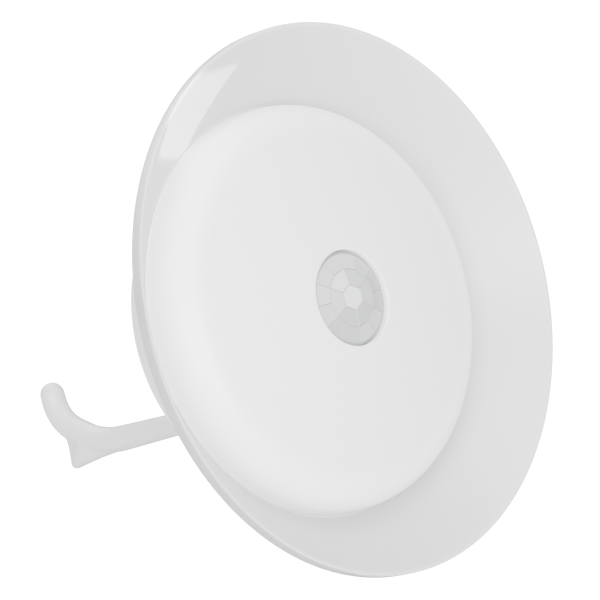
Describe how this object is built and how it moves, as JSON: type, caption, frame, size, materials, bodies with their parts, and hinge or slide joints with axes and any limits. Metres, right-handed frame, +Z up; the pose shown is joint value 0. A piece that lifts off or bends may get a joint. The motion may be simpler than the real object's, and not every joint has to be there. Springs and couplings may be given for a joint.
{
  "type": "motion sensor night light",
  "caption": "Battery night light: a flared translucent bowl round a white sensor cap, standing on its rim and on a hook arm that folds up behind it",
  "frame": {"origin": "on the table, below the middle of the box round the lamp as it stands", "axes": "+Z up, lamp faces -Y and leans back, hook arm reaches to +Y, +X to the right of a viewer in front of it"},
  "size_m": [0.12, 0.1188, 0.1119],
  "materials": {
    "diffuser": "milky translucent, smooth",
    "cap_white": "satin white",
    "lens": "milky, faceted",
    "sensor_can": "plain metal can",
    "dark_plastic": "matte",
    "clear_resin": "clear resin",
    "board": "white solder mask",
    "led": "phosphor face",
    "capacitor": "sleeved can",
    "steel": "zinc plated",
    "housing_white": "fine texture, white",
    "cell": "plain printed sleeve",
    "contact": "plated sheet",
    "wire": "insulated",
    "knob": "ribbed",
    "arm_white": "satin white",
    "washer": "plain"
  },
  "bodies": {
    "lamp": {"diffuser_bowl": "diffuser", "front_cap": "cap_white", "pir_lens": "lens", "lens_retainer": "cap_white", "pir_sensor": "sensor_can", "sensor_collar": "dark_plastic", "light_sensor": "clear_resin", "main_board": "board", "leds": "led", "led_resistors": "dark_plastic", "control_chip": "dark_plastic", "capacitors": "capacitor", "board_screws": "steel", "rear_housing": "housing_white", "housing_screws": "steel", "battery_1": "cell", "battery_2": "cell", "battery_3": "cell", "contact_springs": "steel", "contact_plates": "contact", "switch_body": "dark_plastic", "switch_wires": "wire", "hook_pin": "steel", "hinge_washers": "washer"},
    "hook": {"hook_arm": "arm_white"},
    "door": {"battery_door": "housing_white"},
    "knob": {"switch_knob": "knob"}
  },
  "joints": [
    {"name": "hook_fold", "type": "hinge", "parent": "lamp", "child": "hook", "pos_m": [0, -0.00814, 0.02644], "axis": [1, 0, 0], "range_deg": [0, 85]},
    {"name": "door_slide", "type": "slide", "parent": "lamp", "child": "door", "axis": [0, 0.3652, 0.9309], "range_m": [0, 0.0075]},
    {"name": "knob_slide", "type": "slide", "parent": "lamp", "child": "knob", "axis": [1, 0, 0], "range_m": [-0.002, 0.002]}
  ]
}
